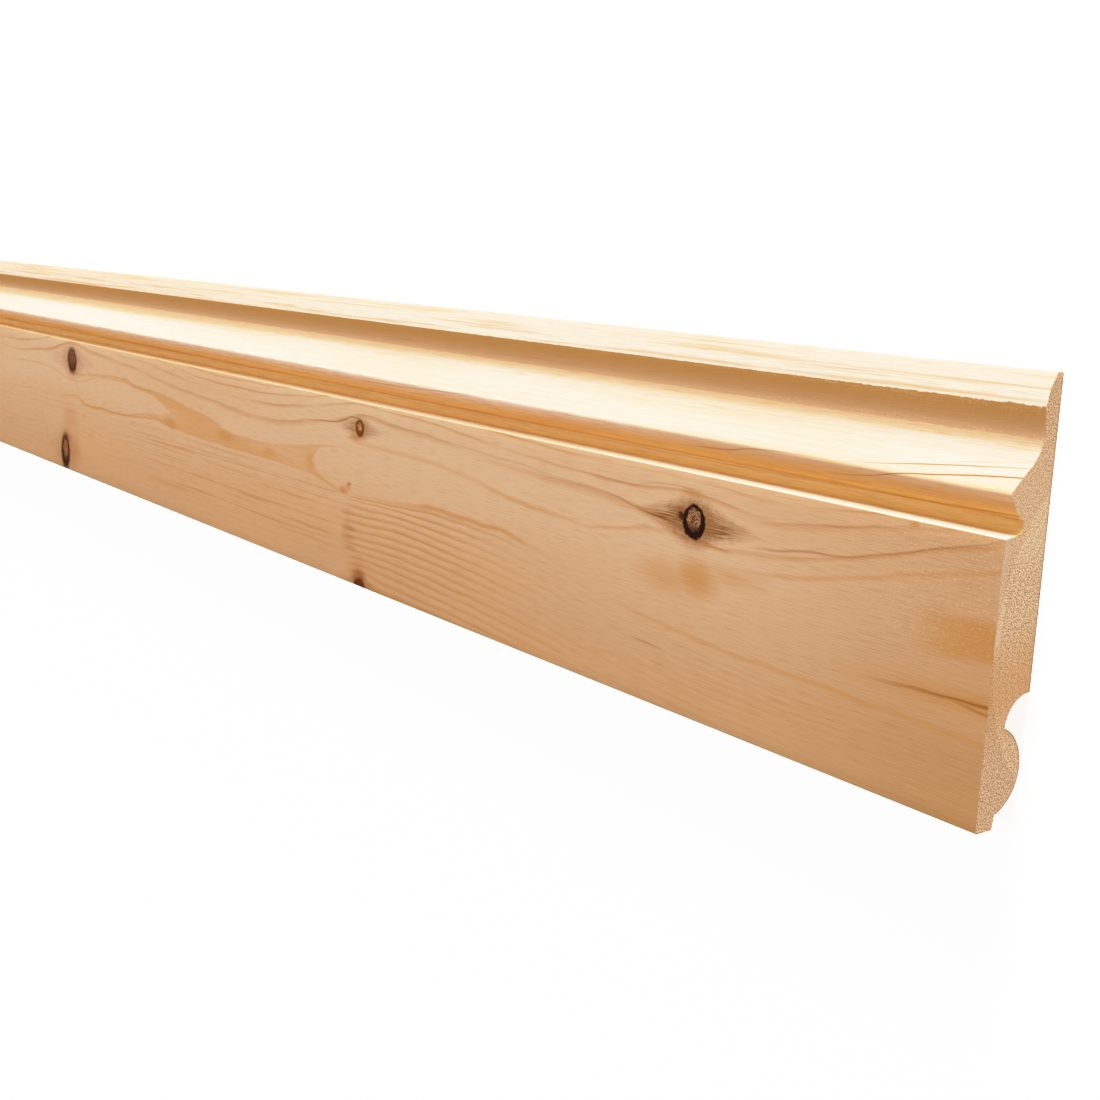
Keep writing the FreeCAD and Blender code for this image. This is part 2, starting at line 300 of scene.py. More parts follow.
def larger(a, b):
    return maths("MAXIMUM", a, b)


def climb(value, low, high, start=0.0, stop=1.0, smooth=True):
    """One number below low, another above high, and a smooth or a straight way between."""
    node = nodes.new("ShaderNodeMapRange")
    node.interpolation_type = "SMOOTHSTEP" if smooth else "LINEAR"
    plug(value, node.inputs["Value"])
    plug(low, node.inputs["From Min"])
    plug(high, node.inputs["From Max"])
    plug(start, node.inputs["To Min"])
    plug(stop, node.inputs["To Max"])
    return Sum(node.outputs["Result"])


def rise(value, low, high, top=1.0):
    return climb(value, low, high, 0.0, top)


def fall(value, low, high, top=1.0):
    return climb(value, low, high, top, 0.0)


def bell(value, middle, half, top):
    """The top at the middle and 0 at a half width away from it."""
    return fall(size_of(value - middle), 0.0, half, top)


def between(value, low, high, soft):
    """1 from low to high, with soft edges of that width outside them."""
    return rise(value, low - soft, low) * fall(value, high, high + soft)


def blend(share, below, above):
    """Mixes two colours."""
    node = nodes.new("ShaderNodeMix")
    node.data_type = "RGBA"
    plug(share, node.inputs["Factor"])
    for value, name in ((below, "A_Color"), (above, "B_Color")):
        socket = next(s for s in node.inputs if s.identifier == name)
        plug(value, socket)
    return Sum(next(s for s in node.outputs if s.identifier == "Result_Color"))


def tone(red, green, blue):
    """A colour as it looks on a screen, 0 to 255, made linear."""
    shares = (red / 255, green / 255, blue / 255)
    return (*[c / 12.92 if c <= 0.04045 else ((c + 0.055) / 1.055) ** 2.4 for c in shares], 1.0)


# %% [markdown]
# ## Where a point lies in the log
# The figure is read in the terms of the sawyer: how far along the board from the near end (minus to the
# far end), how high above the foot, and how deep under the fascia. The pith of the log ran behind the
# back at a height of 60 mm, 68 mm under the fascia at the near end and 61 mm at the far end, so the rings
# are cylinders round that line. A ring that shows on a moulding or on the back came to the fascia, or
# would have come to it, at another height. Reading every point by that height makes one solid figure: each
# line on the fascia runs on over the nose, over the foot and round to the back, as it does in wood.

# %% The point's place in millimetres
coordinate = nodes.new("ShaderNodeTexCoord")
parts = nodes.new("ShaderNodeSeparateXYZ")
links.new(coordinate.outputs["Object"], parts.inputs[0])
along = scaled(Sum(parts.outputs[0]), 1000.0, -HALF)
height = scaled(Sum(parts.outputs[1]), 1000.0, WIDTH / 2)
depth = scaled(Sum(parts.outputs[2]), -1000.0, THICK)
front = fall(depth, 5.0, 12.0)

PITH_HEIGHT, PITH_DEPTH, PITH_TILT = 60.0, 68.25, 0.0029
pith_depth = scaled(along, PITH_TILT, PITH_DEPTH)
off_pith = height - PITH_HEIGHT
reach = off_pith * off_pith - depth * (pith_depth * 2.0 - depth)
inside = pith_depth - root(reach + pith_depth * pith_depth)
level = maths("SIGN", off_pith) * root(larger(reach, 0.0)) + PITH_HEIGHT
cone = pith_depth / (pith_depth - depth)

# %% [markdown]
# The noises are made once and shared, since each one costs a render as much time as dozens of sums.


# %% Shared noises
def noise_at(socket, detail, rough):
    node = nodes.new("ShaderNodeTexNoise")
    node.inputs["Scale"].default_value = 1.0
    node.inputs["Detail"].default_value = detail
    node.inputs["Roughness"].default_value = rough
    links.new(socket, node.inputs["Vector"])
    return Sum(node.outputs[0])


def cloud(step_along, step_across, detail, shift, rough=0.5):
    """Noise whose grains are so many millimetres along and across the board, from 0 to 1."""
    stretch = nodes.new("ShaderNodeVectorMath")
    stretch.operation = "MULTIPLY_ADD"
    links.new(coordinate.outputs["Object"], stretch.inputs[0])
    stretch.inputs[1].default_value = (1000 / step_along, 1000 / step_across, 1000 / step_across)
    stretch.inputs[2].default_value = (shift, shift * 1.7, shift * 0.6)
    return noise_at(stretch.outputs[0], detail, rough)


broad = cloud(240, 38, 1.0, 11.0)
patchy = cloud(80, 7, 1.0, 21.0)
slow = cloud(140, 30, 1.0, 3.1)
quick = cloud(20, 8, 1.0, 7.7)
streaks = cloud(110, 1.5, 2.0, 31.0)
fibre = cloud(13, 0.42, 2.0, 2.0)
grit = cloud(1.1, 0.7, 2.0, 14.0, 0.6)
lumps = cloud(3.0, 2.6, 2.0, 5.0)
speckle = cloud(0.6, 0.52, 2.0, 40.0, 0.6)

# %% [markdown]
# ## Knots
# A knot is a branch that the saw cut through. It grew out from the pith, so it is a cone that runs
# through the board from face to back, and the wood flowed round it as water does round a pile. The knots
# stand in an upper and a lower row. A colour ramp with hard steps works as a drawer for each row: at any
# place along the board it hands out the place and size of the knot nearest to it, packed as the four
# channels of a colour. Working every knot out everywhere would give the same picture several times
# slower. The four that the photograph doesn't reach are guessed, at the spacing of the whorls it shows.

# %% The knots, nearest first
# Each has its place along and its height, half its length and half its height, the colours of its bark and
# its core, how much of it is core, and how strong its tails are.
PLACE, HEIGHT, HALF_X, HALF_Y, BARK, CORE, CORE_SHARE, TAILS = range(8)
UPPER = [
    (-137.8, 75.9, 6.0, 6.4, tone(46, 18, 8), tone(174, 130, 92), 0.64, 1.0),
    (-388.4, 81.0, 4.3, 4.3, tone(120, 70, 30), tone(200, 154, 108), 0.46, 0.5),
    (-800.0, 80.3, 8.8, 8.8, tone(84, 50, 26), tone(140, 96, 64), 0.7, 0.25),
    (-1236.0, 74.0, 7.0, 7.5, tone(66, 34, 16), tone(160, 112, 72), 0.65, 0.6),
    (-1640.0, 64.0, 8.0, 9.0, tone(56, 28, 14), tone(150, 104, 66), 0.7, 0.7),
]
LOWER = [
    (-386.0, 0.0, 5.6, 4.6, tone(98, 50, 20), tone(112, 60, 28), 0.6, 0.2),
    (-816.8, 12.8, 8.6, 12.6, tone(66, 32, 12), tone(176, 120, 80), 0.58, 0.15),
    (-1252.0, 24.0, 6.0, 6.5, tone(74, 38, 18), tone(160, 108, 66), 0.6, 0.5),
    (-2075.0, 22.0, 7.0, 8.0, tone(62, 32, 16), tone(150, 100, 62), 0.65, 0.6),
]
SPLIT = 42.0  # the height that parts the two rows
WIDEST = 40.0  # a channel holds 0 to 1, so half sizes are packed as shares of this
LEAN = -0.3  # how far a branch moves along the board with each millimetre of depth


def drawer(row, pack):
    """A ramp that gives what belongs to the nearest knot of a row."""
    node = nodes.new("ShaderNodeValToRGB")
    plug(climb(along, -LENGTH, 0.0, smooth=False), node.inputs[0])
    steps = node.color_ramp
    steps.interpolation = "CONSTANT"
    far_first = row[::-1]
    while len(steps.elements) < len(far_first):
        steps.elements.new(1.0)
    borders = [0.0] + [1 + (a[PLACE] + b[PLACE]) / 2 / LENGTH for a, b in zip(far_first, far_first[1:])]
    for step, border, knot in zip(steps.elements, borders, far_first):
        step.position = border
        step.color = pack(knot)
    return node


def place_and_size(knot):
    """Packs a knot's place and half sizes as shares from 0 to 1."""
    return -knot[PLACE] / LENGTH, knot[HEIGHT] / WIDTH, knot[HALF_X] / WIDEST, knot[HALF_Y] / WIDEST


def nearest(row):
    """How far a point is from the nearest knot of a row, along and across, and the knot's half sizes."""
    node = drawer(row, place_and_size)
    channels = nodes.new("ShaderNodeSeparateColor")
    links.new(node.outputs[0], channels.inputs[0])
    x, y, half_x = (Sum(s) for s in channels.outputs)
    dx = (scaled(depth, LEAN, along) + x * LENGTH) * cone
    dy = off_pith * cone + PITH_HEIGHT - y * WIDTH
    return dx, dy, half_x * WIDEST, Sum(node.outputs[1]) * WIDEST


# %% The flow round them
PUSH = 1.9  # how strongly a knot pushes the rings aside
DRAWN_OUT = 0.16  # this makes the flow two and a half times as long as it is high
FADE_START, FADE_END = 55.0, 112.0  # where the flow fades, along the board from the knot
flow = 0.0
found = []
for row in (UPPER, LOWER):
    dx, dy, half_x, half_y = nearest(row)
    found.append((dx, dy, half_x, half_y))
    push = half_x * half_x * PUSH
    spread = maths("MULTIPLY_ADD", dy, dy, dx * dx * DRAWN_OUT + push * 0.5)
    flow = flow + dy * push / spread * fall(size_of(dx), FADE_START, FADE_END)
wander = scaled(slow, 4.0, -2.0) + scaled(quick, 1.3, -0.65)
stream = level - flow + wander
print("knots:", len(UPPER), "above and", len(LOWER), "below")

# %% [markdown]
# ## The figure
# Where a ring meets the face it draws a line: pale spring wood that darkens slowly into summer wood and
# then stops sharply. The photograph shows how these lines run. A few of them are drawn here as curves,
# each a height at some places along the board, and the rings between two of them are shared out evenly.
# A pure set of cylinders would be shorter to write, but a real tree is never that round, and the long
# tongue and the lines that bunch over the big knot would be lost.

# %% Curves for lines of the figure
LOW, SPREAD = -20.0, 140.0


def curve_of(way, points):
    """A curve through values from 0 to 1, each at a share of the way."""
    node = nodes.new("ShaderNodeFloatCurve")
    plug(way, node.inputs["Value"])
    curve = node.mapping.curves[0]
    while len(curve.points) < len(points):
        curve.points.new(0.5, 0.5)
    for point, place in zip(curve.points, points):
        point.location = place
        point.handle_type = "AUTO_CLAMPED"
    node.mapping.update()
    return Sum(node.outputs[0])


def drawn(*points):
    """A line of the figure, as a height for each place along the board, both in millimetres."""
    start, stop = points[0][0], points[-1][0]
    way = climb(along, start, stop, smooth=False)
    shares = [((x - start) / (stop - start), (y - LOW) / SPREAD) for x, y in points]
    return scaled(curve_of(way, shares), SPREAD, LOW)


# %% The lines that guide the figure
tongue_top = drawn(
    (-900, 72), (-840, 73), (-790, 71.5), (-745, 74.5), (-697, 76), (-688, 74), (-640, 72), (-600, 68.5),
    (-560, 65), (-545, 61), (-515, 60.2), (-470, 62.5), (-440, 66), (-405, 70.5), (-380, 73.5), (-300, 72),
    (-240, 65.5), (-200, 63.5), (-150, 62), (-110, 61.5), (-60, 70), (0, 84),
)
upper_second = drawn(
    (-900, 81), (-770, 85), (-710, 88), (-645, 83), (-605, 80), (-530, 75.5), (-495, 74.7), (-430, 80),
    (-403, 83), (-370, 86), (-335, 85.5), (-260, 82.3), (-200, 79.5), (-150, 75.5), (-105, 72), (-62, 77),
    (-25, 86.5), (0, 92),
)
upper_third = drawn(
    (-900, 88), (-770, 90.5), (-700, 92), (-600, 86.5), (-560, 83.5), (-520, 82.5), (-450, 85),
    (-400, 90.5), (-330, 91.5), (-245, 88), (-190, 84.5), (-145, 83), (-105, 82), (-60, 87.5), (0, 97),
)
upper_fourth = drawn(
    (-900, 95), (-700, 97), (-590, 90), (-530, 88), (-450, 90), (-400, 95), (-330, 97), (-245, 94),
    (-195, 91), (-105, 88.5), (-60, 92), (0, 103),
)
tongue_foot = drawn(
    (-900, 50), (-812, 54), (-793, 56), (-775, 51.5), (-700, 52.5), (-660, 56), (-625, 52.5), (-435, 50),
    (-410, 46), (-383, 46.5), (-340, 49.5), (-320, 52), (-255, 50.5), (-220, 44), (-190, 41), (-158, 33.5),
    (-120, 30), (0, 29),
)
lower_second = drawn(
    (-900, 42), (-640, 43), (-400, 42.5), (-340, 44), (-300, 44), (-240, 40), (-190, 34), (-158, 28),
    (-120, 24.5), (0, 22),
)
lower_third = drawn(
    (-900, 34), (-400, 34), (-340, 36.5), (-300, 36), (-240, 33), (-190, 27), (-150, 21), (-120, 19),
    (0, 17),
)
lower_last = drawn((-900, 2), (-400, 2), (-340, 4), (-240, 0), (-120, -6), (0, -8))


# %% Share out the rings between the guides
# Past the last guides, and inside the tongue's ring, each ring is as wide as this, in millimetres.
UPPER_RING, LOWER_RING, INNER_RING = 4.2, 3.3, 3.1


def share(value, start, stop, rings=1.0):
    """How many rings a value has come past from one guide on its way to the next."""
    return climb(value, start, stop, 0.0, rings, smooth=False)


upper_rings = share(stream, tongue_top, upper_second) + share(stream, upper_second, upper_third)
upper_rings = upper_rings + share(stream, upper_third, upper_fourth)
upper_rings = upper_rings + larger(stream - upper_fourth, 0.0) / UPPER_RING
lower_rings = share(stream, tongue_foot, lower_second, 2.0) + share(stream, lower_second, lower_third, 2.0)
lower_rings = lower_rings + share(stream, lower_third, lower_last, 8.0)
lower_rings = lower_rings + larger(lower_last - stream, 0.0) / LOWER_RING
inner_rings = larger(inside + (wander - flow) * 0.25, 0.0) / INNER_RING


def summer_wood(rings, start):
    """The dark part of each ring: it comes in slowly and stops sharply."""
    part = maths("FRACT", rings)
    return rise(part, start, 0.93) * fall(part, 0.95, 1.0)


upper_lines = summer_wood(upper_rings, 0.7)
lower_lines = summer_wood(lower_rings, 0.35)
inner_lines = fall(maths("FRACT", inner_rings), 0.0, 0.35)

# %% [markdown]
# ## Colour
# Pine is pale, a little pink in the heart and creamier in the sapwood nearer the bark, which is where the
# mouldings are. It is darker towards the foot, and the fascia towards the near end: painted shade, where
# less light falls. The summer wood is a warmer tan. The long tongue in the middle of the fascia is one
# band of summer wood that the plane cut almost along its surface, so it shows as a broad patch.

# %% Base colour of the planed wood, with painted shade
colour = blend(rise(height, 101.0, 112.0), tone(208, 172, 138), tone(230, 201, 177))
# Painted shade: darker towards the foot, where less light falls.
colour = blend(fall(height, 0.0, 82.0, 0.9), colour, tone(189, 149, 110))
# Painted shade on the fascia towards the near end, where the light falls off.
painted_shade_near_end = rise(along, -125.0, 8.0, 0.42) * fall(height, FASCIA_TOP, 104.0)
colour = blend(painted_shade_near_end, colour, tone(163, 117, 67))
colour = blend(rise(broad, 0.36, 0.66, 0.3), colour, tone(202, 156, 110))

across_tongue = size_of(scaled((stream - tongue_foot) / (tongue_top - tongue_foot), 2.0, -1.0))
pale_core = drawn(
    (-900, 84), (-700, 82), (-660, 66), (-642, 40), (-628, 0), (-618, -18), (-446, -18), (-436, 20),
    (-424, 84), (-380, 92), (0, 98),
) * 0.01
in_tongue = fall(across_tongue, 0.96, 1.03) * fall(inside, 0.0, 0.4)
patch = in_tongue * rise(across_tongue, pale_core, pale_core + 0.16)
patch = patch * climb(patchy, 0.3, 0.62, 0.3, 0.6) * between(along, -900, -150, 60.0)

# %% Ring lines over it
past_whorl = rise(along, -405.0, -391.0) * climb(along, -345.0, -215.0, 0.85, 0.1)
before_whorl = rise(along, -760.0, -600.0) * fall(along, -430.0, -395.0) * between(height, 20.0, 44.0, 12.0)
lines = upper_lines * (1 - in_tongue) * climb(patchy, 0.2, 0.7, 0.1, 1.0) * fall(height, FASCIA_TOP, 97.0)
lines = larger(lines, lower_lines * (past_whorl + rise(patchy, 0.35, 0.75, 0.35)))
lines = larger(lines, rise(streaks, 0.5, 0.68, 0.9) * before_whorl)
lines = larger(lines, inner_lines * rise(inside, 0.05, 0.3, 0.7) * rise(depth, 9.0, 16.0))
colour = blend(lines * 0.6, colour, tone(180, 124, 70))
colour = blend(patch, colour, tone(194, 140, 82))

# %% [markdown]
# ## Marks drawn one by one
# Some lines and stains belong to this one board: resin that ran along a ring, a short check at the near
# end, the stain of a knot just under the surface. Each line is drawn as places along, heights and
# strengths, and each stain as a soft oval. Noise alone would never put them where the eye expects them.

# %% Helpers for marks and stains
ring_height = scaled(quick, 2.0, -1.0) + level
above_low = ring_height - LOW
plain_above_low = height - LOW
drifting = nodes.new("ShaderNodeCombineXYZ")
plug(scaled(quick, 7.0, -3.5) + along, drifting.inputs[0])
plug(ring_height, drifting.inputs[1])


def mark(half, *points, place=above_low):
    """One line drawn from places along, heights and strengths. It ends at its end points."""
    start, stop = points[0][0], points[-1][0]
    way = climb(along, start, stop, smooth=False)
    shares = [(x - start) / (stop - start) for x, _, _ in points]
    line = curve_of(way, [(s, (y - LOW) / SPREAD) for s, (_, y, _) in zip(shares, points)])
    strength = curve_of(way, [(s, strong) for s, (_, _, strong) in zip(shares, points)])
    return fall(size_of(maths("MULTIPLY_ADD", line, -SPREAD, place)), 0.0, half) * strength


def stain(x, y, half_x, half_y, strength):
    """A soft oval stain."""
    moved = nodes.new("ShaderNodeVectorMath")
    moved.operation = "MULTIPLY_ADD"
    links.new(drifting.outputs[0], moved.inputs[0])
    moved.inputs[1].default_value = (1 / half_x, 1 / half_y, 0)
    moved.inputs[2].default_value = (-x / half_x, -y / half_y, 0)
    far = nodes.new("ShaderNodeVectorMath")
    far.operation = "LENGTH"
    links.new(moved.outputs[0], far.inputs[0])
    return fall(Sum(far.outputs["Value"]), 0.15, 1.0, strength)


def strongest(*shapes):
    most = shapes[0]
    for shape in shapes[1:]:
        most = larger(most, shape)
    return most * front


# %% Resin in the fascia
resin = strongest(
    mark(1.3, (-830, 54, 0), (-812, 54, 0.5), (-793, 56, 0.5), (-775, 51.5, 0.9), (-700, 52.5, 0.8),
         (-650, 55.5, 0.6), (-625, 53, 0)),
    mark(1.5, (-805, 71, 0), (-790, 71.5, 0.5), (-745, 74.5, 0.5), (-697, 76, 0.7), (-688, 74, 0.7),
         (-640, 72, 0.5), (-600, 68.5, 0)),
    mark(2.0, (-395, 46, 0), (-383, 46.5, 0.2), (-340, 49.3, 0.45), (-318, 51.3, 0.8), (-262, 51, 0.8),
         (-235, 47, 0.2), (-200, 42, 0)),
    mark(1.9, (-392, 73, 0), (-380, 73.5, 0.3), (-320, 73, 0.35), (-285, 70, 0.25), (-255, 66, 0.6),
         (-225, 64.6, 0.5), (-205, 64, 0)),
    mark(1.9, (-190, 36.8, 0), (-160, 34, 0.35), (-120, 31.2, 0.4), (-60, 30.2, 0.45), (0, 29, 0.4)),
    mark(1.7, (-125, 61.5, 0), (-90, 64.5, 0.4), (-60, 70, 0.4), (-30, 77, 0.4), (0, 84, 0.45)),
    mark(1.4, (-212, 62, 0), (-185, 65.5, 0.45), (-165, 69.5, 0.45), (-148, 69.6, 0)),
    mark(1.6, (-440, 52, 0), (-428, 49.5, 0.4), (-412, 47, 0.4), (-396, 46, 0)),
    rise(along, -38.0, -8.0, 0.8) * between(scaled(along, -0.06, ring_height), 57.0, 66.0, 4.0),
    mark(6.0, (-70, 39, 0), (-35, 40, 0.35), (-12, 41, 0.7), (0, 41.5, 0.8)),
    stain(-135, 55.0, 18, 11, 0.85),
    stain(-152, 52.5, 26, 10, 0.5),
    stain(-116, 59, 24, 6, 0.4),
    stain(-140, 86.8, 9, 2.4, 0.5),
    stain(-394, 75.4, 10, 3, 0.85),
    stain(-625, 56, 15, 5, 0.75),
    stain(-545, 57.5, 20, 5, 0.6),
    stain(-488, 56, 12, 4.4, 0.45),
    stain(-441, 57, 8, 7, 0.5),
    stain(-35, 92.6, 3.4, 1.6, 0.85),
)
colour = blend(resin * 0.8, colour, tone(184, 128, 66))

# %% Red stains round the whorls
reds = strongest(
    stain(-403.5, 47.6, 7, 3.0, 0.9),
    stain(-399, 49.8, 5, 2.4, 0.8),
    stain(-799, 72.5, 11, 3.6, 0.7),
    stain(-806, 38, 22, 15, 0.4),
    stain(-799, 17, 18, 20, 0.55),
    stain(-388, 9, 14, 10, 0.45),
    mark(1.2, (-142, 69.4, 0), (-134, 69.2, 1), (-124, 68.4, 0.9), (-115, 68, 0)),
)
colour = blend(reds * 0.6, colour, tone(180, 108, 66))

# %% Brown lines and checks
browns = strongest(
    mark(0.8, (-108, 71.6, 0), (-92, 73.2, 0.5), (-78, 75.5, 0.55), (-62, 77, 0.45), (-45, 81, 0.4),
         (-25, 86.5, 0.45), (0, 93, 0.3)),
    mark(0.8, (-112, 80, 0), (-80, 84.8, 0.25), (-60, 87.5, 0.3), (-30, 93, 0)),
    mark(1.1, (-52, 38.6, 0), (-38, 39.4, 0.35), (-20, 40.6, 0.65), (0, 41.6, 0.8)),
    mark(0.8, (-16, 40.2, 0), (-8, 39.6, 0.45), (0, 39, 0.55)),
    mark(0.6, (-173, 24.7, 0), (-163, 24.2, 0.55), (-150, 23, 0)),
    mark(0.7, (-235, 81, 0), (-205, 79.8, 0.3), (-188, 79, 0.35), (-172, 76.3, 0.5), (-158, 74.3, 0.6),
         (-143, 73.4, 0)),
    mark(0.8, (-210, 85, 0), (-178, 84.8, 0.2), (-160, 87.3, 0.2), (-146, 88, 0.25), (-130, 86, 0)),
    mark(0.65, (-450, 78.6, 0), (-425, 80.8, 0.6), (-412, 82, 0.8), (-403, 84, 0.9), (-396, 86.1, 0.9),
         (-390, 86, 0.8), (-382, 82.5, 0)),
    mark(0.6, (-408, 77.6, 0), (-398, 79.6, 0.6), (-389, 79, 0)),
    mark(1.0, (-395, 88.5, 0), (-370, 86.6, 0.2), (-335, 85.8, 0.25), (-300, 84, 0.2), (-255, 82, 0.25),
         (-195, 79, 0)),
    stain(-397.8, 51.6, 3.4, 1.3, 0.75),
    stain(-400, 27, 8, 15, 0.16),
    stain(-400, 36.5, 11, 2.8, 0.25),
    stain(-398, 28.8, 11, 2.6, 0.45),
    stain(-399, 24.0, 11, 2.3, 0.38),
    stain(-398, 18.6, 10, 2.2, 0.3),
    stain(-387, 5.5, 9, 6, 0.75),
    stain(-813, 24.5, 13, 7, 0.5),
)
colour = blend(browns * 0.8, colour, tone(124, 64, 18))

# %% [markdown]
# ## The mouldings
# The knives went down through paler sapwood, so the long slope and the bead are cream with faint straight
# streaks. The bead is paler still, partly as a painted highlight. The hollows carry painted light and
# shade: the orange of light that bounces from wood to wood under the nose, and painted shade in the
# undercut and the top of the cove under the bead. A ragged line parts the bead from the undercut, where
# the knives tore the fibres instead of cutting them.

# %% Colour of the slope, the cove and the bead, with painted light and shade
far_away = fall(along, -300.0, -40.0)
to_far_end = climb(along, -720.0, -300.0, 1.0, 0.0, smooth=False)
ragged_by = rise(along, -130.0, -5.0, 1.5) + 0.7
torn_height = maths("MULTIPLY_ADD", scaled(grit, 0.5, -0.85) + lumps * 0.7 + fibre * 0.5, ragged_by, height)
in_top = rise(depth, 9.0, 11.5) * fall(depth, 18.0, 19.0) * rise(height, 115.0, 118.0)
under_bead = fall(torn_height, 133.25, 133.5) * in_top
# The undercut's lower edge is a painted shadow edge, where the bead's foot cuts off the low light.
undercut = rise(torn_height, 123.0, 123.6) * under_bead
in_cove = rise(to_far_end * 2.4 + torn_height, 119.2, 122.4) * under_bead
on_bead = rise(torn_height, 133.25, 133.6) * in_top
faint = rise(streaks, 0.46, 0.66) * rise(height, 106.0, 109.0) * fall(depth, 16.5, 18.0)
# The bead and its bevel are paler partly as sapwood and partly as a painted highlight, where the light
# falls full on them.
top_colour = blend(rise(height, 138.4, 140.0), tone(249, 217, 189), tone(233, 195, 169))
colour = blend(on_bead, colour, top_colour)
colour = blend(faint * scaled(on_bead, 0.4, 0.22), colour, tone(206, 156, 116))
pricks = rise(grit, 0.56, 0.74, 0.35) * rise(along, -330.0, -20.0)
colour = blend(pricks * on_bead, colour, tone(206, 160, 118))
# Painted shade in the top of the cove under the bead, reaching lower towards the far end.
colour = blend(in_cove * 0.8, colour, tone(202, 162, 122))
# Painted shade in the undercut under the bead.
colour = blend(undercut, colour, blend(rise(height, 124.0, 131.5), tone(189, 151, 113), tone(181, 137, 85)))
flecks = rise(fibre * 0.6 + grit * 0.4, 0.5, 0.66, 0.5) * climb(along, -260.0, -10.0, 0.15, 1.0)
flecks = flecks * climb(size_of(height - 128.5), 1.5, 4.8, 0.2, 1.0) * undercut
colour = blend(flecks, colour, tone(236, 200, 156))

# %% Colour of the nose, the belly and the ledge, with painted light and shade
nose = between(torn_height, 104.0, 107.8, 1.5) * front * climb(fibre, 0.36, 0.64, 1.0, 0.5)
hollow = rise(height, 94.35, 95.6) * fall(torn_height, 104.2, 107.4) * rise(depth, 0.5, 4.6) * front
ledge = rise(depth, 0.1, 0.6) * fall(depth, 3.2, 6.8) * between(height, 93.5, 94.6, 0.4)
# Painted shade on the nose, darker near the end and paler far off, over its fibres.
colour = blend(nose * 0.75, colour, blend(far_away, tone(212, 166, 122), tone(252, 216, 188)))
# Painted shade on the slope just above the nose, by the near end.
end_shade = rise(along, -75.0, 0.0, 0.35) * between(height, 106.0, 110.0, 3.0) * front
colour = blend(end_shade, colour, tone(222, 176, 132))
# The hollow's colours are painted light and shade: the warm orange of light bounced between the ledge and
# the belly, darker near the end, with streaks of grain.
deep_above = blend(far_away, tone(213, 156, 94), tone(225, 172, 111))
deep = blend(rise(height, 98.0, 103.0), tone(255, 206, 122), deep_above)
deep = blend(rise(streaks, 0.42, 0.66, 0.35) * rise(height, 96.8, 98.4), deep, tone(206, 140, 66))
colour = blend(hollow * 0.95, colour, deep)
# The ledge is painted near white by the near end, a painted highlight where the low light falls full on it,
# and darker towards the far end.
ledge_colour = blend(far_away, tone(254, 236, 206), tone(226, 183, 147))
colour = blend(ledge, colour, blend(to_far_end, ledge_colour, tone(192, 154, 112)))
colour = blend(to_far_end * on_bead * 0.25, colour, tone(206, 154, 116))

# %% Lines across the slope and the nose
def cut(half, *points):
    """One line drawn at true heights, which doesn't drift with the rings."""
    return mark(half, *points, place=plain_above_low)


cut_lines = strongest(
    cut(0.4, (-72, 108.2, 0), (-50, 110, 0.6), (-40, 111.2, 0.8), (-20, 113.2, 0.9), (0, 115, 0.9)),
    cut(0.36, (-30, 113.2, 0), (-15, 115, 0.8), (0, 116.8, 0.8)),
    cut(0.42, (-82, 103.3, 0), (-66, 104.0, 0.35), (-54, 105.6, 0.5), (-44, 107.7, 0.8), (-30, 109.3, 1),
        (-14, 111.1, 1), (0, 112.3, 1)),
    cut(0.5, (-145, 103.6, 0), (-132, 104.2, 0.45), (-122, 105.0, 0.5), (-114, 106.5, 0.45),
        (-104, 107.4, 0.45), (-88, 107.9, 0.3), (-60, 108.1, 0)),
    cut(0.5, (-230, 98.0, 0), (-140, 98.3, 0.4), (-70, 98.9, 0.45), (0, 100.6, 0.5)),
    cut(0.6, (-420, 104.4, 0), (-360, 105, 0.3), (-320, 106.6, 0.3), (-290, 107.8, 0)),
)
colour = blend(cut_lines, colour, tone(142, 84, 34))

# %% Fibres and the rough patch by the near end
colour = blend(rise(fibre, 0.46, 0.72, 0.25), colour, tone(166, 112, 68))
rough_patch = rise(along, -100.0, -15.0) * between(height, 62.0, FASCIA_TOP, 16.0) * front
colour = blend(rise(grit, 0.5, 0.76, 0.18) * rough_patch, colour, tone(240, 208, 170))

# %% [markdown]
# ## Drawing the knots
# A dead knot keeps a ring of black bark. Inside is the branch's own end grain, speckled and darker below,
# and round it the wood is bruised and fibrous, with fine dark lines that close in to a point on both
# sides. The big knot by the near end has a ragged pocket of bark at its side as well. One drawing serves
# all the knots, in distances that are shares of each knot's own size.

# %% The nearest knot of all
is_upper = maths("GREATER_THAN", off_pith * cone, SPLIT - PITH_HEIGHT)
is_lower = 1 - is_upper
(upper_x, upper_y, upper_half_x, upper_half_y), (lower_x, lower_y, lower_half_x, lower_half_y) = found
knot_along = is_upper * (upper_x / upper_half_x) + is_lower * (lower_x / lower_half_x)
knot_across = is_upper * (upper_y / upper_half_y) + is_lower * (lower_y / lower_half_y)


def of_nearest(colour_at, number_at):
    """A colour and a number of the nearest knot."""
    low, high = (
        drawer(row, lambda knot: (*knot[colour_at][:3], knot[number_at])) for row in (LOWER, UPPER)
    )
    number = is_upper * Sum(high.outputs[1]) + is_lower * Sum(low.outputs[1])
    return blend(is_upper, Sum(low.outputs[0]), Sum(high.outputs[0])), number


bark, core_share = of_nearest(BARK, CORE_SHARE)
core, tail_strength = of_nearest(CORE, TAILS)
across_squared = knot_across * knot_across
round_knot = root(maths("MULTIPLY_ADD", knot_along, knot_along, across_squared))
ragged = lumps * 0.3 + grit * 0.25 + round_knot
core_across = knot_across - 0.14
round_core = root(maths("MULTIPLY_ADD", knot_along, knot_along, core_across * core_across))
hollowed = lumps * 0.5 + grit * 0.3 + round_core

